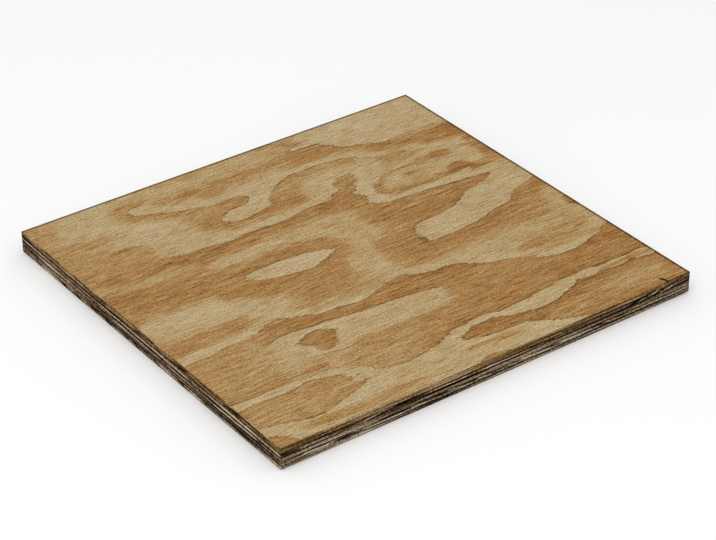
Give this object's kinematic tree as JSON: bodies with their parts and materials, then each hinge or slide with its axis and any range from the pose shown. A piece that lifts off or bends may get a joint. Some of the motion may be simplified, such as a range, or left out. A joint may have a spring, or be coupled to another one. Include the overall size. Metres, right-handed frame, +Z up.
{
  "type": "plywood sheet",
  "caption": "Flat, square-cut softwood plywood panel with crossed veneers showing at its sawn edges, for sheathing, shelving or joinery.",
  "frame": {"origin": "middle of the underside, on the surface that the panel lies on", "axes": "+X along the grain of the face, the longer side; +Y across the grain; +Z up out of the face"},
  "size_m": [0.366, 0.348, 0.0183],
  "materials": {
    "face": "sanded bare softwood",
    "crossband": "sawn end grain, darkened by the saw",
    "core": "sawn softwood",
    "back": "sanded bare softwood"
  },
  "bodies": {
    "root": {"face_veneer": "face", "upper_crossband": "crossband", "core_veneer": "core", "lower_crossband": "crossband", "back_veneer": "back"}
  },
  "joints": []
}
